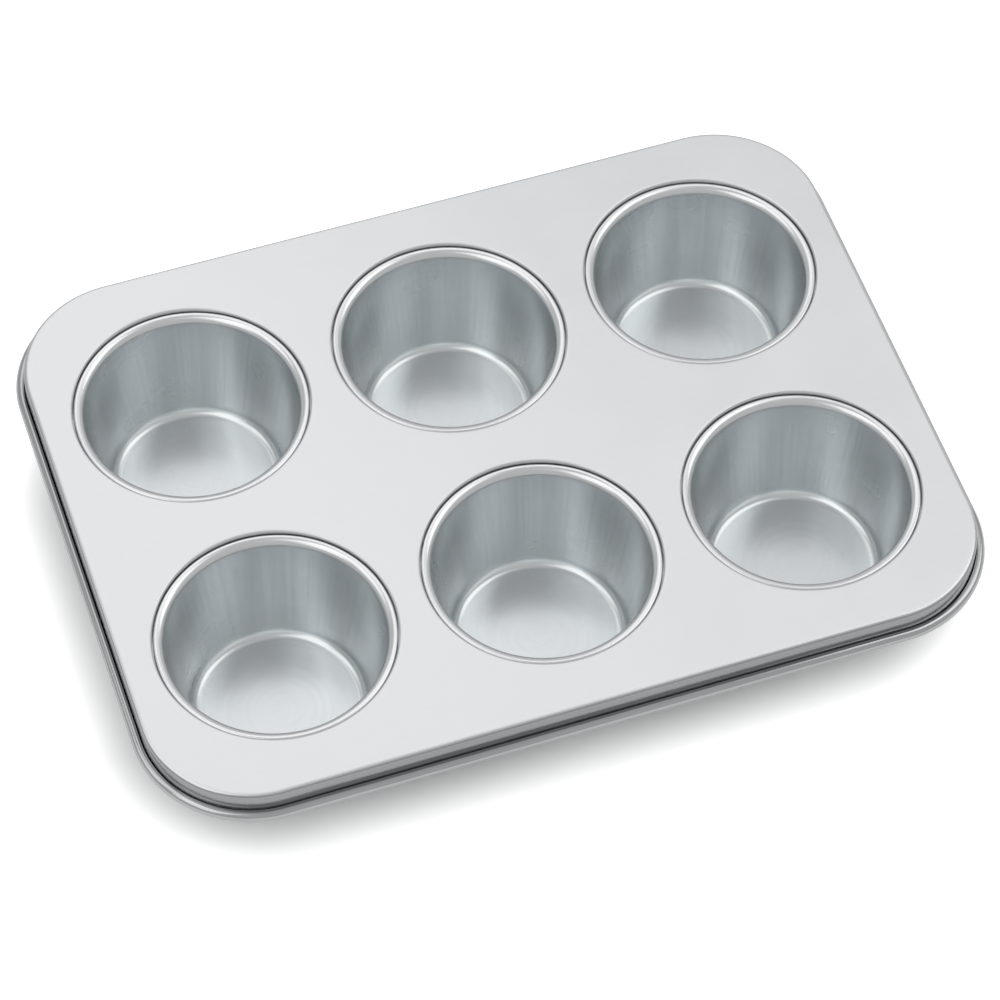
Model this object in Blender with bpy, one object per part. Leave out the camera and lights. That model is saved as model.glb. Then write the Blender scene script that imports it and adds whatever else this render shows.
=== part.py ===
"""Jumbo muffin pan: six deep drawn cups, lock seamed into one stamped frame with a wired hem.

Lengths are in metres. X runs along the long side of the pan, +Z is up, and z = 0 is the surface
that the six cup bottoms stand on. The frame's flat top lies CUP_DEPTH above it.
"""

import math

import bmesh
import bpy

# Sheet metal and the clearance kept between pieces that touch on the real pan
FRAME_SHEET = 0.0008
CUP_SHEET = 0.0008
SEAT_GAP = 0.0003

# Layout of the cups: the seam is the thin round line seen between a cup and the frame
COLUMN_NAMES = ("left", "centre", "right")
ROW_NAMES = ("front", "rear")
SEAM_RADIUS = 0.049
COLUMN_LAND = 0.014
ROW_LAND = 0.0213
END_MARGIN = 0.014
SIDE_MARGIN = 0.0224
CORNER_RADIUS = 0.045

# Cup shape, measured inside the cup
CUP_DEPTH = 0.055
FLOOR_RADIUS = 0.0358
FLOOR_FILLET = 0.0045

# Lip of the cup: the wall rolls over into the lip, which folds down again at the seam.
# Both bends are radii on the inside of the sheet.
LIP_DROP = 0.0013
LIP_BEND = 0.0027
SEAM_FOLD = 0.00015

# Lock seam: the frame's turned-down collar, and the cup's flange hooked round its lower edge
COLLAR_DEPTH = 0.0040
COLLAR_BEND = 0.0002
HOOK_RISE = 0.0020

# Skirt and hem: the sheet goes down, then curls outwards round a steel wire
SKIRT_BEND = 0.0010
HEM_DROP = 0.0112
WIRE_DIAMETER = 0.0026
CURL_TURN = math.radians(296)

# Facets
CUP_SEGMENTS = 32
CORNER_SEGMENTS = 8
WIRE_SIDES = 8

# Sizes that follow
COLUMN_PITCH = 2 * SEAM_RADIUS + COLUMN_LAND
ROW_PITCH = 2 * SEAM_RADIUS + ROW_LAND
HALF_LENGTH = (len(COLUMN_NAMES) - 1) / 2 * COLUMN_PITCH + SEAM_RADIUS + END_MARGIN
HALF_WIDTH = (len(ROW_NAMES) - 1) / 2 * ROW_PITCH + SEAM_RADIUS + SIDE_MARGIN
COLLAR_INNER = SEAM_RADIUS + SEAT_GAP / 2
COLLAR_OUTER = COLLAR_INNER + FRAME_SHEET
COLLAR_FOOT = CUP_DEPTH - COLLAR_DEPTH
CURL_INNER = WIRE_DIAMETER / 2 + SEAT_GAP
CURL_OUTER = CURL_INNER + FRAME_SHEET
HEM_CENTRE = (CURL_INNER, CUP_DEPTH - HEM_DROP)


def clear_scene():
    for item in list(bpy.data.objects):
        bpy.data.objects.remove(item, do_unlink=True)


def make_material(name, colour, roughness, metallic=1.0):
    """One Principled material: linear colour, roughness and metallic value."""
    material = bpy.data.materials.new(name)
    material.use_nodes = True
    shader = material.node_tree.nodes["Principled BSDF"]
    shader.inputs["Base Color"].default_value = (*colour, 1.0)
    shader.inputs["Roughness"].default_value = roughness
    shader.inputs["Metallic"].default_value = metallic
    return material


def arc(centre, radius, start, end, steps):
    """Points on a circle in the section plane, both ends included. Angles are in radians."""
    turns = [start + (end - start) * i / steps for i in range(steps + 1)]
    return [(centre[0] + radius * math.cos(a), centre[1] + radius * math.sin(a)) for a in turns]


def cup_outline():
    """Closed section of one cup, as (radius, height), from the axis out and back to it.

    The under side runs from the axis to the end of the hook. The inner side comes back over the
    lip and down the wall, which is tangent to the lip and to the fillet at the floor.
    """
    leg_outer = SEAM_RADIUS - SEAT_GAP / 2
    lip_top = CUP_DEPTH - LIP_DROP
    lip_outer = LIP_BEND + CUP_SHEET
    fold_outer = SEAM_FOLD + CUP_SHEET
    lip_centre = (leg_outer - fold_outer, lip_top - lip_outer)
    fold_centre = (leg_outer - fold_outer, lip_top - fold_outer)

    # The wall leans outwards from the floor's edge to its tangent point on the lip
    across = lip_centre[0] - FLOOR_RADIUS
    rise = lip_centre[1] - CUP_SHEET
    lean = math.atan2(across, rise) - math.asin(lip_outer / math.hypot(across, rise))
    fillet_centre = (
        FLOOR_RADIUS + FLOOR_FILLET * math.tan(lean) - FLOOR_FILLET / math.cos(lean),
        CUP_SHEET + FLOOR_FILLET,
    )

    hook_floor = COLLAR_FOOT - SEAT_GAP
    hook_inner = COLLAR_OUTER + SEAT_GAP
    hook_outer = hook_inner + CUP_SHEET
    hook_end = COLLAR_FOOT + HOOK_RISE
    quarter = math.pi / 2

    under = [(0.0, 0.0)]
    under += arc(fillet_centre, FLOOR_FILLET + CUP_SHEET, -quarter, -lean, 3)
    under += arc(lip_centre, LIP_BEND, 2 * quarter - lean, quarter, 2)
    under += [(leg_outer - CUP_SHEET, lip_top - CUP_SHEET - SEAM_FOLD)]
    under += arc((leg_outer, hook_floor), CUP_SHEET, 2 * quarter, 3 * quarter, 1)
    under += arc((hook_inner, hook_floor), CUP_SHEET, 3 * quarter, 4 * quarter, 1)
    under += [(hook_outer, hook_end)]

    inner = [(hook_inner, hook_end), (hook_inner, hook_floor), (leg_outer, hook_floor)]
    inner += arc(fold_centre, fold_outer, 0.0, quarter, 2)[:-1]
    inner += arc(lip_centre, lip_outer, quarter, 2 * quarter - lean, 4)
    inner += arc(fillet_centre, FLOOR_FILLET, -lean, -quarter, 3)
    inner += [(0.0, CUP_SHEET)]
    return under + inner


def revolve(outline, steps):
    """Mesh of an outline turned once round the Z axis. Its two ends lie on the axis."""
    bm = bmesh.new()
    ring = [bm.verts.new((radius, 0.0, height)) for radius, height in outline]
    edges = [bm.edges.new(pair) for pair in zip(ring, ring[1:])]
    bmesh.ops.spin(
        bm,
        geom=ring + edges,
        axis=(0.0, 0.0, 1.0),
        cent=(0.0, 0.0, 0.0),
        steps=steps,
        angle=2 * math.pi,
        use_merge=True,
    )
    bmesh.ops.remove_doubles(bm, verts=bm.verts, dist=1e-6)
    return bm


def skirt_section():
    """Frame section at its rim, as (distance outside the skirt's face, height).

    It starts on the plate's top face, bends down into the skirt, curls round the wire, and comes
    back on the inner face of the sheet to the plate's under side.
    """
    bend_outer = SKIRT_BEND + FRAME_SHEET
    bend_centre = (-bend_outer, CUP_DEPTH - bend_outer)
    quarter = math.pi / 2
    start, end = math.pi, math.pi + CURL_TURN

    outer = arc(bend_centre, bend_outer, quarter, 0.0, 3)
    outer += arc(HEM_CENTRE, CURL_INNER, start, end, 6)
    inner = arc(HEM_CENTRE, CURL_OUTER, end, start, 8)
    inner += arc(bend_centre, SKIRT_BEND, 0.0, quarter, 2)
    return outer + inner


def collar_section():
    """Frame section at one hole, as (radius, height), from the top face to the under side."""
    bend_outer = COLLAR_BEND + FRAME_SHEET
    bend_centre = (COLLAR_INNER + bend_outer, CUP_DEPTH - bend_outer)
    quarter = math.pi / 2

    face = arc(bend_centre, bend_outer, quarter, 2 * quarter, 2)
    face += [(COLLAR_INNER, COLLAR_FOOT), (COLLAR_OUTER, COLLAR_FOOT)]
    face += arc(bend_centre, COLLAR_BEND, 2 * quarter, quarter, 1)
    return face


def rim_loop(bm, outside, height):
    """One closed loop of vertices that follows the rounded plate, this far outside its skirt."""
    radius = CORNER_RADIUS + outside
    inset_x = HALF_LENGTH - CORNER_RADIUS
    inset_y = HALF_WIDTH - CORNER_RADIUS
    loop = []
    for corner, (sx, sy) in enumerate(((1, 1), (-1, 1), (-1, -1), (1, -1))):
        start = corner * math.pi / 2
        for x, y in arc((sx * inset_x, sy * inset_y), radius, start, start + math.pi / 2, CORNER_SEGMENTS):
            loop.append(bm.verts.new((x, y, height)))
    return loop


def hole_loop(bm, centre, radius, height):
    """One closed loop of vertices round a cup's hole, in step with the cup's own facets."""
    turns = [2 * math.pi * i / CUP_SEGMENTS for i in range(CUP_SEGMENTS)]
    return [
        bm.verts.new((centre[0] + radius * math.cos(a), centre[1] + radius * math.sin(a), height))
        for a in turns
    ]


def skin(bm, loops):
    """Joins each loop of vertices to the next one with quads."""
    for low, high in zip(loops, loops[1:]):
        for i in range(len(low)):
            j = (i + 1) % len(low)
            bm.faces.new((low[i], low[j], high[j], high[i]))


def fill_plate(bm, loops):
    """Fills the flat sheet between the rim's loop and the holes' loops."""
    edges = []
    for loop in loops:
        edges += [bm.edges.get((loop[i - 1], loop[i])) for i in range(len(loop))]
    bmesh.ops.triangle_fill(bm, edges=edges, use_beauty=True)


def cup_centres():
    """Name and place of each cup, by row and column."""
    centres = {}
    for row, row_name in enumerate(ROW_NAMES):
        for column, column_name in enumerate(COLUMN_NAMES):
            x = (column - (len(COLUMN_NAMES) - 1) / 2) * COLUMN_PITCH
            y = (row - (len(ROW_NAMES) - 1) / 2) * ROW_PITCH
            centres[f"cup_{row_name}_{column_name}"] = (x, y)
    return centres


def make_mesh(name, bm, material):
    """Mesh with its normals outwards, smooth but for its sharp edges."""
    bmesh.ops.recalc_face_normals(bm, faces=bm.faces)
    mesh = bpy.data.meshes.new(name)
    bm.to_mesh(mesh)
    bm.free()
    mesh.materials.append(material)
    mesh.shade_smooth()
    mesh.set_sharp_from_angle(angle=math.radians(40))
    return mesh


def add_object(name, mesh, place=(0.0, 0.0, 0.0)):
    item = bpy.data.objects.new(name, mesh)
    item.location = place
    bpy.context.scene.collection.objects.link(item)
    return item


def make_frame(material):
    """The stamped frame: plate, six collars, skirt and curled hem, all one sheet."""
    bm = bmesh.new()
    rim = [rim_loop(bm, outside, height) for outside, height in skirt_section()]
    skin(bm, rim)
    tops, unders = [rim[0]], [rim[-1]]
    for centre in cup_centres().values():
        collar = [hole_loop(bm, centre, radius, height) for radius, height in collar_section()]
        skin(bm, collar)
        tops.append(collar[0])
        unders.append(collar[-1])
    fill_plate(bm, tops)
    fill_plate(bm, unders)
    return add_object("frame", make_mesh("frame", bm, material))


def make_rim_wire(material):
    """The steel wire that the hem is curled round, one closed loop."""
    bm = bmesh.new()
    section = arc(HEM_CENTRE, WIRE_DIAMETER / 2, 0.0, 2 * math.pi, WIRE_SIDES)[:-1]
    loops = [rim_loop(bm, outside, height) for outside, height in section]
    skin(bm, loops + loops[:1])
    return add_object("rim_wire", make_mesh("rim_wire", bm, material))


def make_cups(material):
    """Six alike cups, which share one mesh."""
    mesh = make_mesh("cup", revolve(cup_outline(), CUP_SEGMENTS), material)
    return [add_object(name, mesh, (x, y, 0.0)) for name, (x, y) in cup_centres().items()]


def main():
    clear_scene()
    make_frame(make_material("frame_aluminised_steel", (0.72, 0.72, 0.73), 0.38))
    make_rim_wire(make_material("rim_wire_steel", (0.45, 0.45, 0.46), 0.45))
    make_cups(make_material("cup_aluminised_steel", (0.66, 0.66, 0.67), 0.30))


main()
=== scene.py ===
"""Finished surfaces of a six-cup muffin pan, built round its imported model.

Lengths are in metres. X runs along the pan's long side, +Z is up, and z = 0 is the surface that
the six cup bottoms stand on.
"""

import math
from types import SimpleNamespace

import bmesh
import bpy
from bpy.props import FloatProperty, FloatVectorProperty, IntProperty, PointerProperty
from mathutils import Matrix, Vector


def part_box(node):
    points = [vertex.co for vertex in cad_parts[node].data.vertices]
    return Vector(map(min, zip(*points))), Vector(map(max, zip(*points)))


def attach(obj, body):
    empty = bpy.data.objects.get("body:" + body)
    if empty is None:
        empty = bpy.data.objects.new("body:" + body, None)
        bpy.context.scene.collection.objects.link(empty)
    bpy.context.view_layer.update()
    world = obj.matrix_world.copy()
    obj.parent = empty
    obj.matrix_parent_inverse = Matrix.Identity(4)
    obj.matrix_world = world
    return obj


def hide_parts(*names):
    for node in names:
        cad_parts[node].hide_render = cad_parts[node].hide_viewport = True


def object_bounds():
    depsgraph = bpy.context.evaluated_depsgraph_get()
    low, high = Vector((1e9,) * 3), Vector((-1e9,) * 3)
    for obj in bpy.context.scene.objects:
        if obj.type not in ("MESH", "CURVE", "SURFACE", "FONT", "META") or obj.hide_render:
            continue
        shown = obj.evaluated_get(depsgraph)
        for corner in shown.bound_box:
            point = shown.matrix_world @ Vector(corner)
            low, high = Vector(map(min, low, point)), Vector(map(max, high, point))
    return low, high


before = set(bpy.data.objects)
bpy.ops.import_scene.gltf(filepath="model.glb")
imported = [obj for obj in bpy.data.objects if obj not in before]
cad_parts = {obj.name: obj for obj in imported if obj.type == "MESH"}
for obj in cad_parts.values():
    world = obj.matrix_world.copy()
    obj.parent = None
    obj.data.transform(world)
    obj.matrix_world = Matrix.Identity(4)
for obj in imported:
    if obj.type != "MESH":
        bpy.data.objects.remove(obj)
CAD_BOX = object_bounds()

bl_info = {
    "name": "Muffin Pan Finish",
    "version": (1, 0, 0),
    "blender": (4, 5, 0),
    "location": "3D View > Sidebar > Pan",
    "description": "Builds the finished sheet metal of a six-cup muffin pan and its studio",
    "category": "Object",
}

CUP_NODES = sorted(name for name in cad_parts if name.startswith("cup_"))
QUARTER = math.pi / 2
SHARP_TURN = math.radians(50)  # faces that meet at a wider angle show an edge
FLAT_BORDER = 0.0005  # keeps the shading of a bend off the flat plate
BELOW_ALL, ABOVE_ALL = -1.0, 1.0  # heights beyond every piece
SHEET_CLOUDS, CUP_CLOUDS, WIRE_CLOUDS = 26.0, 34.0, 400.0  # clouds of the coating in a metre


def length(name, description, default):
    """A length that isn't negative."""
    return FloatProperty(
        name=name, description=description, default=default, min=0.0, precision=5, unit="LENGTH"
    )


def offset(name, description, default):
    """A length that may be negative."""
    return FloatProperty(name=name, description=description, default=default, unit="LENGTH")


def count(name, description, default, least):
    """A whole number."""
    return IntProperty(name=name, description=description, default=default, min=least)


def share(name, description, default):
    """A plain number from 0 to 1."""
    return FloatProperty(
        name=name, description=description, default=default, min=0.0, max=1.0, subtype="FACTOR"
    )


def colour(name, description, default):
    """A linear colour."""
    return FloatVectorProperty(
        name=name,
        description=description,
        default=default,
        min=0.0,
        max=1.0,
        size=3,
        subtype="COLOR",
    )


def level(name, description, default):
    """A plain number that isn't negative. For a light's face, 1 is as bright as white paper."""
    return FloatProperty(name=name, description=description, default=default, min=0.0)


def angle(name, description, degrees):
    """An angle, given here in degrees."""
    return FloatProperty(
        name=name, description=description, default=math.radians(degrees), subtype="ANGLE"
    )


class PanSheet(bpy.types.PropertyGroup):
    """Sizes of the pressed sheet, the same as the solids have."""

    frame_sheet: length("Frame sheet", "Thickness of the frame's steel", 0.0008)
    cup_sheet: length("Cup sheet", "Thickness of a cup's steel", 0.0008)
    seat_gap: length("Seat gap", "Clearance between pieces that touch on the real pan", 0.0003)
    corner_radius: length("Corner radius", "Radius of the skirt's corners seen from above", 0.045)
    skirt_bend: length("Skirt bend", "Inner radius of the bend from plate to skirt", 0.0010)
    hem_drop: length("Hem drop", "From the plate's top down to the middle of the wire", 0.0112)
    wire_diameter: length("Wire diameter", "Thickness of the wire in the hem", 0.0026)
    curl_turn: angle("Curl turn", "How far the hem is curled round the wire", 296)
    floor_radius: length("Floor radius", "Where the wall's line meets the cup's floor", 0.0358)
    floor_fillet: length("Floor fillet", "Radius between the floor and the wall", 0.0045)
    lip_drop: length("Lip drop", "How far the lip lies below the plate's top", 0.0013)
    lip_bend: length("Lip bend", "Inner radius of the roll from the wall to the lip", 0.0027)
    seam_fold: length("Seam fold", "Inner radius of the fold down into the seam", 0.00015)
    collar_depth: length("Collar depth", "How far the frame's collar is turned down", 0.0040)
    collar_bend: length("Collar bend", "Inner radius of the collar's bend", 0.0002)
    hook_rise: length("Hook rise", "How far the cup's flange hooks up behind the collar", 0.0020)
    round_steps: count("Round steps", "Facets round one cup", 192, 24)
    corner_steps: count("Corner steps", "Facets in one corner", 40, 4)
    bend_steps: count("Bend steps", "Facets in a quarter bend", 8, 2)


class PanFinish(bpy.types.PropertyGroup):
    """Colours and surface of the aluminised steel."""

    frame_colour: colour("Frame colour", "Satin sheet of the plate", (0.70, 0.708, 0.717))
    # Painted shade: darker than the plate, standing in for the shadowed floor that the skirt
    # reflects
    skirt_shade_colour: colour("Skirt colour", "Duller sheet of the skirt", (0.38, 0.388, 0.393))
    # Painted shade: darker than the plate, standing in for the shadowed floor that the hem reflects
    hem_shade_colour: colour("Hem colour", "Sheet that is curled round the wire", (0.50, 0.508, 0.513))
    cup_colour: colour("Cup colour", "Drawn sheet of the cups", (0.719, 0.746, 0.757))
    # Painted shade: the cup floors are darker than the walls, for the shade at the bottom of each
    # cup
    floor_shade_colour: colour("Floor colour", "Duller sheet of the cup floors", (0.590, 0.613, 0.623))
    lip_colour: colour("Lip colour", "Rubbed bright on the rolled lip", (0.72, 0.728, 0.735))
    wire_colour: colour("Wire colour", "Drawn steel wire inside the hem", (0.45, 0.45, 0.46))
    frame_roughness: share("Frame roughness", "Roughness of the flat plate", 0.36)
    rim_roughness: share("Rim roughness", "Roughness of the skirt and the hem", 0.13)
    cup_roughness: share("Cup roughness", "Roughness of the cup walls", 0.26)
    bend_roughness: share("Bend roughness", "Roughness of the lip and the floor's edge", 0.24)
    wire_roughness: share("Wire roughness", "Roughness of the wire", 0.42)
    mottle: share("Mottle", "Strength of the cloudy variation of the coating", 0.06)
    grain_depth: share("Grain depth", "Strength of the rolling grain", 0.10)
    streak_tone: share("Streak tone", "How much the streaks change the tone of the walls", 0.18)
    ring_tone: share("Ring tone", "How much the rings change the tone of the cups", 0.08)
    grain_tone: share("Grain tone", "How much the grain changes the tone of the sheet", 0.04)


class PanStudio(bpy.types.PropertyGroup):
    """Camera and light."""

    heading: angle("Heading", "Direction of the view, turned from +Y towards +X", 19.5)
    elevation: angle("Elevation", "Angle of the view above the horizon", 55)
    roll: angle("Roll", "Turn of the camera about its own line of sight", -1.0)
    distance: length("Distance", "From the camera to the aim point", 1.673)
    scale: level("Scale", "Pixels per metre at the aim point", 2460.0)
    aim_x: offset("Aim X", "Aim point on the plate's top", -0.0066)
    aim_y: offset("Aim Y", "Aim point on the plate's top", -0.0264)
    room_light: level("Room light", "Brightness of the white room", 0.59)
    right_light: level("Right light", "Brightness of the softbox on the camera's right", 1.04)
    back_right_light: level("Back right light", "Brightness of the back right softbox", 0.38)
    back_left_light: level("Back left light", "Brightness of the back left softbox", 0.66)
    left_light: level("Left light", "Brightness of the softbox on the camera's left", 0.73)
    front_left_light: level("Front left light", "Brightness of the front left softbox", 0.78)
    page_white: level("Page white", "Added where the camera sees the paper far from the pan", 0.75)
    shadow_white: level("Shadow white", "Added where the camera sees the paper under the pan", 0.03)
    shadow_reach: length("Shadow reach", "From the shadow's full depth to the page's white", 0.034)
    reflected_white: level("Reflected white", "Added where a reflection shows the paper", 0.12)


def arc(centre, radius, start, end, steps):
    """Points on a circle in the section plane, both ends included."""
    turns = [start + (end - start) * i / steps for i in range(steps + 1)]
    return [(centre[0] + radius * math.cos(a), centre[1] + radius * math.sin(a)) for a in turns]


def middle(node):
    """Middle of a node's box, seen from above."""
    low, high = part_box(node)
    return (low.x + high.x) / 2, (low.y + high.y) / 2


def pan_layout(sheet):
    """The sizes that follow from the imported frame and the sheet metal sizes."""
    low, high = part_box("frame")
    cup_low, cup_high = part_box(CUP_NODES[0])
    plate_top = high.z
    curl_inner = sheet.wire_diameter / 2 + sheet.seat_gap
    curl_outer = curl_inner + sheet.frame_sheet
    hook_outer = (cup_high.x - cup_low.x) / 2
    collar_outer = hook_outer - sheet.cup_sheet - sheet.seat_gap
    collar_inner = collar_outer - sheet.frame_sheet
    return SimpleNamespace(
        plate_top=plate_top,
        curl_inner=curl_inner,
        curl_outer=curl_outer,
        half_length=high.x - curl_inner - curl_outer,
        half_width=high.y - curl_inner - curl_outer,
        collar_outer=collar_outer,
        collar_inner=collar_inner,
        collar_foot=plate_top - sheet.collar_depth,
        leg_outer=collar_inner - sheet.seat_gap,
        lip_top=plate_top - sheet.lip_drop,
        hem_centre=(curl_inner, plate_top - sheet.hem_drop),
        cup_centres={name: middle(name) for name in CUP_NODES},
    )


def add_object(name, data, place=(0.0, 0.0, 0.0)):
    """Puts a mesh, a light or a camera into the scene."""
    item = bpy.data.objects.new(name, data)
    item.location = place
    bpy.context.scene.collection.objects.link(item)
    return item


def finished_mesh(name, bm, *materials):
    """Mesh with its normals outwards, smooth but for its cut edges."""
    bmesh.ops.recalc_face_normals(bm, faces=bm.faces)
    mesh = bpy.data.meshes.new(name)
    bm.to_mesh(mesh)
    bm.free()
    for material in materials:
        mesh.materials.append(material)
    mesh.shade_smooth()
    mesh.set_sharp_from_angle(angle=SHARP_TURN)
    return mesh


def skin(bm, loops):
    """Joins each loop of vertices to the next one, with triangles where one loop is a point."""
    for low, high in zip(loops, loops[1:]):
        for i in range(len(low)):
            j = (i + 1) % len(low)
            corners = dict.fromkeys((low[i], low[j], high[j], high[i]))
            bm.faces.new(tuple(corners))


def fill_plate(bm, loops):
    """Fills the flat sheet between the rim's loop and the holes' loops."""
    edges = []
    for loop in loops:
        edges += [bm.edges.get((loop[i - 1], loop[i])) for i in range(len(loop))]
    bmesh.ops.triangle_fill(bm, edges=edges, use_beauty=True)


def rim_loop(bm, sheet, layout, outside, height):
    """One closed loop that follows the rounded plate, this far outside its skirt."""
    radius = sheet.corner_radius + outside
    inset_x = layout.half_length - sheet.corner_radius
    inset_y = layout.half_width - sheet.corner_radius
    loop = []
    for corner, (sx, sy) in enumerate(((1, 1), (-1, 1), (-1, -1), (1, -1))):
        start = corner * QUARTER
        centre = (sx * inset_x, sy * inset_y)
        for x, y in arc(centre, radius, start, start + QUARTER, sheet.corner_steps):
            loop.append(bm.verts.new((x, y, height)))
    return loop


def round_loop(bm, sheet, centre, radius, height):
    """One closed loop round a centre. Without a radius it is one vertex, given many times."""
    if radius == 0.0:
        return [bm.verts.new((*centre, height))] * sheet.round_steps
    turns = [2 * math.pi * i / sheet.round_steps for i in range(sheet.round_steps)]
    return [
        bm.verts.new((centre[0] + radius * math.cos(a), centre[1] + radius * math.sin(a), height))
        for a in turns
    ]


def skirt_section(sheet, layout):
    """Frame section at its rim, as (distance outside the skirt's face, height)."""
    bend_outer = sheet.skirt_bend + sheet.frame_sheet
    bend_centre = (-bend_outer, layout.plate_top - bend_outer)
    start, end = math.pi, math.pi + sheet.curl_turn
    turns = 3 * sheet.bend_steps

    outer = [(-bend_outer - FLAT_BORDER, layout.plate_top)]
    outer += arc(bend_centre, bend_outer, QUARTER, 0.0, sheet.bend_steps)
    outer += arc(layout.hem_centre, layout.curl_inner, start, end, turns)
    inner = arc(layout.hem_centre, layout.curl_outer, end, start, turns)
    inner += arc(bend_centre, sheet.skirt_bend, 0.0, QUARTER, sheet.bend_steps)
    inner += [(-bend_outer - FLAT_BORDER, layout.plate_top - sheet.frame_sheet)]
    return outer + inner


def collar_section(sheet, layout):
    """Frame section at one hole, as (radius, height), from the top face to the under side."""
    inner_steps = 3  # the bend's inner side is too small for more
    bend_outer = sheet.collar_bend + sheet.frame_sheet
    bend_centre = (layout.collar_inner + bend_outer, layout.plate_top - bend_outer)
    border = bend_centre[0] + FLAT_BORDER
    face = [(border, layout.plate_top)]
    face += arc(bend_centre, bend_outer, QUARTER, 2 * QUARTER, sheet.bend_steps)
    face += [(layout.collar_inner, layout.collar_foot), (layout.collar_outer, layout.collar_foot)]
    face += arc(bend_centre, sheet.collar_bend, 2 * QUARTER, QUARTER, inner_steps)
    face += [(border, layout.plate_top - sheet.frame_sheet)]
    return face


def cup_section(sheet, layout):
    """Closed section of one cup, as (radius, height), from the axis out and back to it."""
    steps = sheet.bend_steps
    leg_outer, lip_top = layout.leg_outer, layout.lip_top
    lip_outer = sheet.lip_bend + sheet.cup_sheet
    fold_outer = sheet.seam_fold + sheet.cup_sheet
    lip_centre = (leg_outer - fold_outer, lip_top - lip_outer)
    fold_centre = (leg_outer - fold_outer, lip_top - fold_outer)

    # The wall leans outwards from the floor's edge to its tangent point on the lip
    across = lip_centre[0] - sheet.floor_radius
    rise = lip_centre[1] - sheet.cup_sheet
    lean = math.atan2(across, rise) - math.asin(lip_outer / math.hypot(across, rise))
    fillet_shift = sheet.floor_fillet * (math.tan(lean) - 1 / math.cos(lean))
    fillet_centre = (sheet.floor_radius + fillet_shift, sheet.cup_sheet + sheet.floor_fillet)

    hook_floor = layout.collar_foot - sheet.seat_gap
    hook_inner = layout.collar_outer + sheet.seat_gap
    hook_end = layout.collar_foot + sheet.hook_rise
    ring_count = 6
    floor_rings = [fillet_centre[0] * i / ring_count for i in range(ring_count)]

    under = [(radius, 0.0) for radius in floor_rings]
    under += arc(fillet_centre, sheet.floor_fillet + sheet.cup_sheet, -QUARTER, -lean, 2 * steps)
    under += arc(lip_centre, sheet.lip_bend, 2 * QUARTER - lean, QUARTER, steps)
    under += [(leg_outer - sheet.cup_sheet, lip_top - fold_outer)]
    under += arc((leg_outer, hook_floor), sheet.cup_sheet, 2 * QUARTER, 3 * QUARTER, steps)
    under += arc((hook_inner, hook_floor), sheet.cup_sheet, 3 * QUARTER, 4 * QUARTER, steps)
    under += [(hook_inner + sheet.cup_sheet, hook_end)]

    inner = [(hook_inner, hook_end), (hook_inner, hook_floor), (leg_outer, hook_floor)]
    inner += arc(fold_centre, fold_outer, 0.0, QUARTER, steps)[:-1]
    inner += arc(lip_centre, lip_outer, QUARTER, 2 * QUARTER - lean, 2 * steps)
    inner += arc(fillet_centre, sheet.floor_fillet, -lean, -QUARTER, 3 * steps)
    inner += [(radius, sheet.cup_sheet) for radius in reversed(floor_rings)]
    return under + inner


def new_group(name, inputs, outputs):
    """Empty shader node group with these number and vector inputs, and number outputs."""
    group = bpy.data.node_groups.new(name, "ShaderNodeTree")
    for label, default in inputs.items():
        kind = "NodeSocketVector" if default is None else "NodeSocketFloat"
        socket = group.interface.new_socket(name=label, in_out="INPUT", socket_type=kind)
        if default is not None:
            socket.default_value = default
    for label in outputs:
        group.interface.new_socket(name=label, in_out="OUTPUT", socket_type="NodeSocketFloat")
    return group, group.nodes.new("NodeGroupInput"), group.nodes.new("NodeGroupOutput")


def add_node(tree, kind, values=None, **settings):
    """Adds a node, sets its properties, and fills its inputs with numbers or links."""
    node = tree.nodes.new(kind)
    for key, value in settings.items():
        setattr(node, key, value)
    for key, value in (values or {}).items():
        if isinstance(value, bpy.types.NodeSocket):
            tree.links.new(value, node.inputs[key])
        else:
            node.inputs[key].default_value = value
    return node


def maths(tree, operation, first, second=0.0, **settings):
    """One step of arithmetic on numbers or links."""
    node = add_node(tree, "ShaderNodeMath", {0: first, 1: second}, operation=operation, **settings)
    return node.outputs[0]


def vector_maths(tree, operation, values, output="Vector"):
    """One step of arithmetic on vectors or links."""
    return add_node(tree, "ShaderNodeVectorMath", values, operation=operation).outputs[output]


def vector_of(tree, **parts):
    """A vector from numbers or links for X, Y and Z. A part that isn't given is 0."""
    return add_node(tree, "ShaderNodeCombineXYZ", parts).outputs["Vector"]


def grain_group():
    """Rolling grain: short scratches that run along X, over a finer speckle."""
    group, inner, outer = new_group(
        "rolling_grain", {"Vector": None, "Along": 90.0, "Across": 1700.0}, ["Grain", "Speckle"]
    )
    vector, along, across = (inner.outputs[k] for k in ("Vector", "Along", "Across"))
    scales = vector_of(group, X=along, Y=across, Z=across)
    stretched = vector_maths(group, "MULTIPLY", {0: vector, 1: scales})
    lines = add_node(
        group, "ShaderNodeTexNoise", {"Vector": stretched, "Scale": 1.0, "Detail": 3.0}
    )
    speckle = add_node(
        group, "ShaderNodeTexNoise", {"Vector": vector, "Scale": across, "Detail": 2.0}
    )
    group.links.new(lines.outputs["Fac"], outer.inputs["Grain"])
    group.links.new(speckle.outputs["Fac"], outer.inputs["Speckle"])
    return group


def mottle_group():
    """Cloudy variation of the metal coating, from 0 to 1."""
    group, inner, outer = new_group(
        "coating_mottle", {"Vector": None, "Scale": SHEET_CLOUDS}, ["Mottle"]
    )
    noise = add_node(
        group,
        "ShaderNodeTexNoise",
        {"Vector": inner.outputs["Vector"], "Scale": inner.outputs["Scale"], "Detail": 1.5},
    )
    spread = add_node(
        group,
        "ShaderNodeMapRange",
        {"Value": noise.outputs["Fac"], "From Min": 0.2, "From Max": 0.8},
    )
    group.links.new(spread.outputs["Result"], outer.inputs["Mottle"])
    return group


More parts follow.
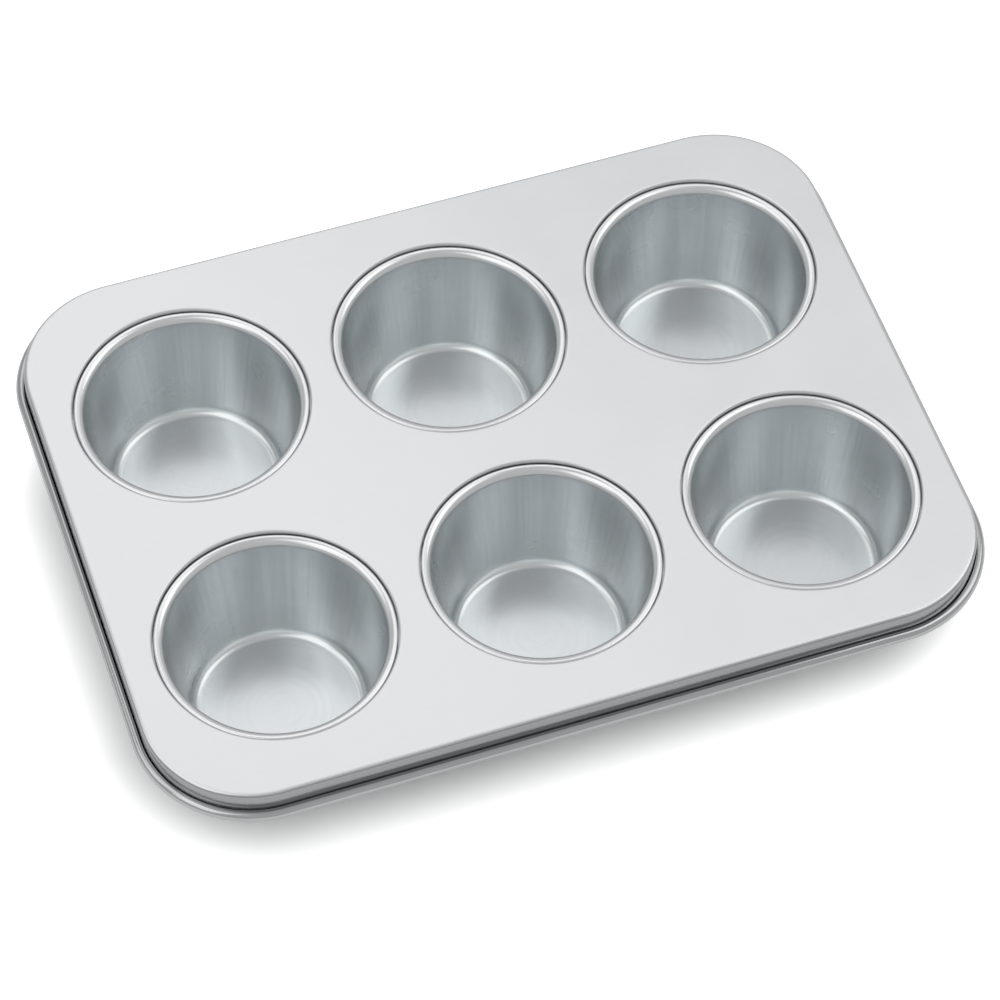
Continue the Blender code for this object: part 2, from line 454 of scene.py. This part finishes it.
def band_group():
    """1 between two heights and 0 outside them, with soft ends."""
    group, inner, outer = new_group(
        "height_band", {"Vector": None, "Low": 0.0, "High": 1.0, "Softness": 0.001}, ["Band"]
    )
    parts = add_node(group, "ShaderNodeSeparateXYZ", {"Vector": inner.outputs["Vector"]})
    height = parts.outputs["Z"]
    sides = []
    for end, sign in (("Low", 1.0), ("High", -1.0)):
        gap = maths(group, "SUBTRACT", height, inner.outputs[end])
        ratio = maths(group, "DIVIDE", gap, inner.outputs["Softness"])
        ratio = maths(group, "MULTIPLY", ratio, sign)
        sides.append(maths(group, "ADD", ratio, 0.5, use_clamp=True))
    group.links.new(maths(group, "MULTIPLY", *sides), outer.inputs["Band"])
    return group


def draw_mark_group():
    """Marks of the drawing die: rings round the axis and streaks down the wall."""
    group, inner, outer = new_group(
        "draw_marks",
        {"Vector": None, "Ring Scale": 520.0, "Streak Scale": 26.0},
        ["Rings", "Streaks"],
    )
    parts = add_node(group, "ShaderNodeSeparateXYZ", {"Vector": inner.outputs["Vector"]})
    flat = vector_of(group, X=parts.outputs["X"], Y=parts.outputs["Y"])
    radius = vector_maths(group, "LENGTH", {0: flat}, "Value")
    direction = vector_maths(group, "NORMALIZE", {0: flat})

    out_and_up = maths(group, "ADD", radius, parts.outputs["Z"])
    ring_step = maths(group, "MULTIPLY", out_and_up, inner.outputs["Ring Scale"])
    ring_place = vector_maths(group, "ADD", {0: direction, 1: vector_of(group, X=ring_step)})
    rings = add_node(
        group, "ShaderNodeTexNoise", {"Vector": ring_place, "Scale": 1.0, "Detail": 1.0}
    )

    # The streaks change round the axis, and hardly at all with the height
    height_share = 0.4
    streak_step = maths(group, "MULTIPLY", parts.outputs["Z"], height_share)
    streak_place = vector_maths(group, "ADD", {0: direction, 1: vector_of(group, Z=streak_step)})
    streaks = add_node(
        group,
        "ShaderNodeTexNoise",
        {"Vector": streak_place, "Scale": inner.outputs["Streak Scale"], "Detail": 2.0},
    )
    group.links.new(rings.outputs["Fac"], outer.inputs["Rings"])
    group.links.new(streaks.outputs["Fac"], outer.inputs["Streaks"])
    return group


GROUP_MAKERS = {
    "rolling_grain": grain_group,
    "coating_mottle": mottle_group,
    "height_band": band_group,
    "draw_marks": draw_mark_group,
}


def use_group(tree, name, values):
    """Places a shared node group, which is built the first time that it is asked for."""
    if name not in bpy.data.node_groups:
        GROUP_MAKERS[name]()
    return add_node(tree, "ShaderNodeGroup", values, node_tree=bpy.data.node_groups[name])


def new_material(name):
    """New material with a Principled shader. Returns it, its tree and the shader."""
    material = bpy.data.materials.new(name)
    material.use_nodes = True
    tree = material.node_tree
    return material, tree, tree.nodes["Principled BSDF"]


def steel(name):
    """New metallic material. Returns it, its tree and the shader."""
    material, tree, shader = new_material(name)
    shader.inputs["Metallic"].default_value = 1.0
    return material, tree, shader


def clouds(tree, place, scale):
    """Mask of the coating's clouds, with this many of them in a metre."""
    return use_group(tree, "coating_mottle", {"Vector": place, "Scale": scale}).outputs["Mottle"]


def height_mask(tree, place, low, high, softness):
    """1 between two heights of the piece and 0 beyond them."""
    values = {"Vector": place, "Low": low, "High": high, "Softness": softness}
    return use_group(tree, "height_band", values).outputs["Band"]


def varied(tree, base, amount, mask):
    """The base number plus or minus half the amount, by a mask from 0 to 1."""
    swing = maths(tree, "MULTIPLY", maths(tree, "SUBTRACT", mask, 0.5), amount)
    return maths(tree, "ADD", swing, base)


def link_or_colour(value):
    """A link as it is, or a colour as plain numbers."""
    return value if isinstance(value, bpy.types.NodeSocket) else tuple(value)


def tinted(tree, base, amount, mask):
    """The base colour, darker or lighter by half the amount, by a mask from 0 to 1."""
    strength = varied(tree, 1.0, amount, mask)
    return vector_maths(tree, "SCALE", {0: link_or_colour(base), "Scale": strength})


def blended(tree, first, second, mask):
    """From the first colour or number to the second, by a mask from 0 to 1."""
    if isinstance(second, float):
        node = add_node(tree, "ShaderNodeMix", {0: mask, 2: first, 3: second}, data_type="FLOAT")
        return node.outputs[0]
    values = {0: mask, 4: link_or_colour(first), 5: tuple(second)}
    return add_node(tree, "ShaderNodeMix", values, data_type="VECTOR").outputs[1]


def rolled_sheet(tree, shader, finish, colour_now, roughness_now):
    """The coating's clouds and the rolling grain, over this colour and roughness."""
    place = add_node(tree, "ShaderNodeTexCoord").outputs["Object"]
    mottle = clouds(tree, place, SHEET_CLOUDS)
    grain = use_group(tree, "rolling_grain", {"Vector": place})
    rough = varied(tree, roughness_now, finish.mottle, mottle)
    rough = varied(tree, rough, finish.mottle, grain.outputs["Grain"])
    tree.links.new(rough, shader.inputs["Roughness"])
    tint = tinted(tree, colour_now, finish.mottle, mottle)
    tint = tinted(tree, tint, finish.grain_tone, grain.outputs["Grain"])
    tree.links.new(tint, shader.inputs["Base Color"])
    speckle = maths(tree, "MULTIPLY", grain.outputs["Speckle"], 0.5)
    height = maths(tree, "ADD", grain.outputs["Grain"], speckle)
    scratch_depth = 0.0002
    bump = add_node(
        tree,
        "ShaderNodeBump",
        {"Height": height, "Strength": finish.grain_depth, "Distance": scratch_depth},
    )
    tree.links.new(bump.outputs["Normal"], shader.inputs["Normal"])


def plate_steel(finish):
    """Satin sheet of the plate and its collars."""
    material, tree, shader = steel("plate_steel")
    rolled_sheet(tree, shader, finish, finish.frame_colour, finish.frame_roughness)
    return material


def rim_steel(finish, layout):
    """From the plate's finish at the top of the bend to a skirt and a curled hem that are darkened
    with painted shade.
    """
    material, tree, shader = steel("rim_steel")
    place = add_node(tree, "ShaderNodeTexCoord").outputs["Object"]
    skirt_top, skirt_fade = layout.plate_top - 0.0004, 0.0006
    hem_top, hem_fade = layout.hem_centre[1] + layout.curl_outer, 0.001
    skirt = height_mask(tree, place, BELOW_ALL, skirt_top, skirt_fade)
    hem = height_mask(tree, place, BELOW_ALL, hem_top, hem_fade)
    # Painted shade: below the top of the bend the skirt and the hem take darker colours than the
    # plate
    tint = blended(tree, finish.frame_colour, finish.skirt_shade_colour, skirt)
    tint = blended(tree, tint, finish.hem_shade_colour, hem)
    rough = blended(tree, finish.frame_roughness, finish.rim_roughness, skirt)
    rolled_sheet(tree, shader, finish, tint, rough)
    return material


def cup_steel(finish, sheet, layout):
    """Drawn cup: a floor darkened with painted shade, die marks round and down the wall, and a
    polished lip.
    """
    material, tree, shader = steel("cup_steel")
    place = add_node(tree, "ShaderNodeTexCoord").outputs["Object"]
    # The clouds go by the place on the pan, so that no two cups are alike
    pan_place = add_node(tree, "ShaderNodeNewGeometry").outputs["Position"]
    mottle = clouds(tree, pan_place, CUP_CLOUDS)
    marks = use_group(tree, "draw_marks", {"Vector": place})

    floor_end = sheet.cup_sheet + 0.0004
    wall_start = sheet.cup_sheet + sheet.floor_fillet
    lip_start = layout.lip_top - sheet.lip_bend - sheet.cup_sheet
    fade = 0.0012
    floor, fillet, wall, lip = (
        height_mask(tree, place, low, high, fade)
        for low, high in (
            (BELOW_ALL, floor_end),
            (floor_end, wall_start),
            (wall_start, lip_start),
            (lip_start, ABOVE_ALL),
        )
    )
    streaks = maths(tree, "SUBTRACT", marks.outputs["Streaks"], 0.5)
    streaks = maths(tree, "ADD", maths(tree, "MULTIPLY", streaks, wall), 0.5)

    bends = maths(tree, "MAXIMUM", lip, fillet)
    rough = blended(tree, finish.cup_roughness, finish.bend_roughness, bends)
    rough = varied(tree, rough, finish.mottle, mottle)
    tree.links.new(rough, shader.inputs["Roughness"])
    # Painted shade: the floor takes a darker colour than the wall
    tint = blended(tree, finish.cup_colour, finish.floor_shade_colour, floor)
    tint = tinted(tree, tint, finish.streak_tone, streaks)
    tint = tinted(tree, tint, finish.ring_tone, marks.outputs["Rings"])
    tint = blended(tree, tint, finish.lip_colour, lip)
    tint = tinted(tree, tint, finish.mottle, mottle)
    tree.links.new(tint, shader.inputs["Base Color"])
    return material


def wire_steel(finish):
    """Plain drawn wire."""
    material, tree, shader = steel("wire_steel")
    place = add_node(tree, "ShaderNodeTexCoord").outputs["Object"]
    mottle, amount = clouds(tree, place, WIRE_CLOUDS), 0.2
    tree.links.new(varied(tree, finish.wire_roughness, amount, mottle), shader.inputs["Roughness"])
    tree.links.new(tinted(tree, finish.wire_colour, amount, mottle), shader.inputs["Base Color"])
    return material


def stand_for(piece, slot, *nodes):
    """The piece shows instead of these solids and rides on the pan. The slot is not used."""
    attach(piece, "root")
    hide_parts(*nodes)


class PAN_OT_build_frame(bpy.types.Operator):
    """Builds the stamped frame: plate, six collars, skirt and curled hem"""

    bl_idname = "pan.build_frame"
    bl_label = "Build Frame"

    def execute(self, context):
        sheet, finish = context.scene.pan_sheet, context.scene.pan_finish
        layout = pan_layout(sheet)
        bm = bmesh.new()
        rim = [rim_loop(bm, sheet, layout, *point) for point in skirt_section(sheet, layout)]
        skin(bm, rim)
        for face in bm.faces:
            face.material_index = 1
        tops, unders = [rim[0]], [rim[-1]]
        for centre in layout.cup_centres.values():
            section = collar_section(sheet, layout)
            collar = [round_loop(bm, sheet, centre, *point) for point in section]
            skin(bm, collar)
            tops.append(collar[0])
            unders.append(collar[-1])
        fill_plate(bm, tops)
        fill_plate(bm, unders)
        mesh = finished_mesh("stamped_frame", bm, plate_steel(finish), rim_steel(finish, layout))
        stand_for(add_object("stamped_frame", mesh), "frame", "frame")
        return {"FINISHED"}


class PAN_OT_build_wire(bpy.types.Operator):
    """Builds the steel wire that the hem is curled round"""

    bl_idname = "pan.build_wire"
    bl_label = "Build Rim Wire"

    def execute(self, context):
        sheet, finish = context.scene.pan_sheet, context.scene.pan_finish
        layout = pan_layout(sheet)
        bm = bmesh.new()
        sides = 3 * sheet.bend_steps
        section = arc(layout.hem_centre, sheet.wire_diameter / 2, 0.0, 2 * math.pi, sides)[:-1]
        loops = [rim_loop(bm, sheet, layout, *point) for point in section]
        skin(bm, loops + loops[:1])
        mesh = finished_mesh("hem_wire", bm, wire_steel(finish))
        stand_for(add_object("hem_wire", mesh), "rim_wire", "rim_wire")
        return {"FINISHED"}


class PAN_OT_build_cups(bpy.types.Operator):
    """Builds the six drawn cups with their rolled lips and seam flanges"""

    bl_idname = "pan.build_cups"
    bl_label = "Build Cups"

    def execute(self, context):
        sheet, finish = context.scene.pan_sheet, context.scene.pan_finish
        layout = pan_layout(sheet)
        bm, axis = bmesh.new(), (0.0, 0.0)
        skin(bm, [round_loop(bm, sheet, axis, *point) for point in cup_section(sheet, layout)])
        mesh = finished_mesh("drawn_cup", bm, cup_steel(finish, sheet, layout))
        for i, (name, (x, y)) in enumerate(layout.cup_centres.items()):
            cup = add_object(f"drawn_{name}", mesh, (x, y, 0.0))
            cup.rotation_euler.z = QUARTER * i
            stand_for(cup, "cups", name)
        return {"FINISHED"}


def paper_white(studio):
    """White paper, lifted to the white of the page where the camera or a reflection sees it.

    The camera's lift fades in with the distance from the pan, so that its shadow stays short: the
    paper next to the pan is left darker, a painted shadow added to the lamps' own.
    """
    material, tree, shader = new_material("sweep_paper")
    shader.inputs["Base Color"].default_value = (0.92, 0.92, 0.92, 1.0)
    shader.inputs["Roughness"].default_value = 0.9
    shader.inputs["Specular IOR Level"].default_value = 0.0

    # Distance from a rounded rectangle that lies inside the pan's outline
    high = CAD_BOX[1]
    inset_x, inset_y, corner = 0.010, 0.030, 0.049
    corner_centre = (high.x - inset_x - corner, high.y - inset_y - corner, ABOVE_ALL)
    place = add_node(tree, "ShaderNodeNewGeometry").outputs["Position"]
    place = vector_maths(tree, "ABSOLUTE", {0: place})
    place = vector_maths(tree, "SUBTRACT", {0: place, 1: corner_centre})
    place = vector_maths(tree, "MAXIMUM", {0: place, 1: (0.0, 0.0, 0.0)})
    away = vector_maths(tree, "LENGTH", {0: place}, "Value")
    lift = add_node(
        tree,
        "ShaderNodeMapRange",
        {
            "Value": away,
            "From Min": corner,
            "From Max": corner + studio.shadow_reach,
            "To Min": studio.shadow_white,
            "To Max": studio.page_white,
        },
        interpolation_type="SMOOTHSTEP",
    ).outputs["Result"]

    rays = add_node(tree, "ShaderNodeLightPath").outputs
    seen = maths(tree, "MULTIPLY", rays["Is Camera Ray"], lift)
    other = maths(tree, "MAXIMUM", rays["Is Glossy Ray"], rays["Is Transmission Ray"])
    other = maths(tree, "MULTIPLY", other, studio.reflected_white)
    strength = maths(tree, "ADD", seen, other)
    glow = vector_maths(tree, "SCALE", {0: (1.0, 1.0, 1.0), "Scale": strength})
    tree.links.new(glow, shader.inputs["Emission Color"])
    shader.inputs["Emission Strength"].default_value = 1.0
    return material


def make_sweep(studio):
    """Round paper floor, just under the pan."""
    bm = bmesh.new()
    bmesh.ops.create_circle(bm, cap_ends=True, radius=6.0, segments=96)
    mesh = finished_mesh("sweep", bm, paper_white(studio))
    add_object("sweep", mesh, (0.0, 0.0, -0.0001))


SOFTBOXES = {  # turn anticlockwise from the camera's right hand, in degrees
    "right_light": 22,
    "back_right_light": 67,
    "back_left_light": 112,
    "left_light": 180,
    "front_left_light": 225,
}


def make_softbox(studio, name, turn):
    """An upright softbox that looks down at the pan from this side."""
    width, height, distance, lift = 0.8, 1.3, 1.7, math.radians(52)
    target = Vector((0.0, 0.0, 0.03))
    around = math.radians(turn) - studio.heading
    flat = distance * math.cos(lift)
    place = Vector((flat * math.cos(around), flat * math.sin(around), distance * math.sin(lift)))
    light = bpy.data.lights.new(name, "AREA")
    light.shape = "RECTANGLE"
    light.size = width
    light.size_y = height
    light.energy = getattr(studio, name) * math.pi * width * height
    item = add_object(name, light, place)
    item.rotation_euler = (target - place).to_track_quat("-Z", "Y").to_euler()


def make_room(studio):
    """A plain white room."""
    world = bpy.data.worlds.new("white_room")
    bpy.context.scene.world = world
    world.use_nodes = True
    background = world.node_tree.nodes["Background"]
    background.inputs["Color"].default_value = (1.0, 1.0, 1.0, 1.0)
    background.inputs["Strength"].default_value = studio.room_light


def make_camera(studio, layout):
    """Looks down on the pan along its heading, with a long lens."""
    heading, elevation = studio.heading, studio.elevation
    flat = math.cos(elevation)
    ahead = Vector((math.sin(heading) * flat, math.cos(heading) * flat, -math.sin(elevation)))
    right = Vector((math.cos(heading), -math.sin(heading), 0.0))
    up = right.cross(ahead)
    turn = Matrix.Rotation(studio.roll, 3, ahead)
    axes = Matrix((turn @ right, turn @ up, -ahead)).transposed()
    data = bpy.data.cameras.new("view")
    data.sensor_width = 36.0
    image_width = 1000
    data.lens = studio.scale * studio.distance * data.sensor_width / image_width
    camera = add_object("view", data)
    aim = Vector((studio.aim_x, studio.aim_y, layout.plate_top))
    camera.matrix_world = Matrix.Translation(aim - ahead * studio.distance) @ axes.to_4x4()
    bpy.context.scene.camera = camera


class PAN_OT_build_studio(bpy.types.Operator):
    """Builds the paper floor, the white room, the softboxes and the camera"""

    bl_idname = "pan.build_studio"
    bl_label = "Build Studio"

    def execute(self, context):
        studio = context.scene.pan_studio
        context.scene.view_settings.view_transform = "Standard"
        make_sweep(studio)
        make_room(studio)
        for name, turn in SOFTBOXES.items():
            make_softbox(studio, name, turn)
        make_camera(studio, pan_layout(context.scene.pan_sheet))
        return {"FINISHED"}


class PAN_PT_sidebar(bpy.types.Panel):
    """Lists the sizes and the steps that build the pan"""

    bl_label = "Muffin Pan"
    bl_idname = "PAN_PT_sidebar"
    bl_space_type = "VIEW_3D"
    bl_region_type = "UI"
    bl_category = "Pan"

    def draw(self, context):
        for group in (context.scene.pan_sheet, context.scene.pan_finish, context.scene.pan_studio):
            box = self.layout.box()
            for name in group.__annotations__:
                box.prop(group, name)
        for operator in OPERATORS:
            self.layout.operator(operator.bl_idname)


OPERATORS = (PAN_OT_build_frame, PAN_OT_build_wire, PAN_OT_build_cups, PAN_OT_build_studio)
GROUPS = {"pan_sheet": PanSheet, "pan_finish": PanFinish, "pan_studio": PanStudio}


def register():
    """Adds the classes and their settings to Blender."""
    for item in (*GROUPS.values(), *OPERATORS, PAN_PT_sidebar):
        bpy.utils.register_class(item)
    for name, group in GROUPS.items():
        setattr(bpy.types.Scene, name, PointerProperty(type=group))


def unregister():
    """Takes the classes and their settings away again."""
    for name in GROUPS:
        delattr(bpy.types.Scene, name)
    for item in reversed((*GROUPS.values(), *OPERATORS, PAN_PT_sidebar)):
        bpy.utils.unregister_class(item)


def main():
    """Builds everything."""
    register()
    bpy.ops.pan.build_frame()
    bpy.ops.pan.build_wire()
    bpy.ops.pan.build_cups()
    bpy.ops.pan.build_studio()


if __name__ == "__main__":
    main()
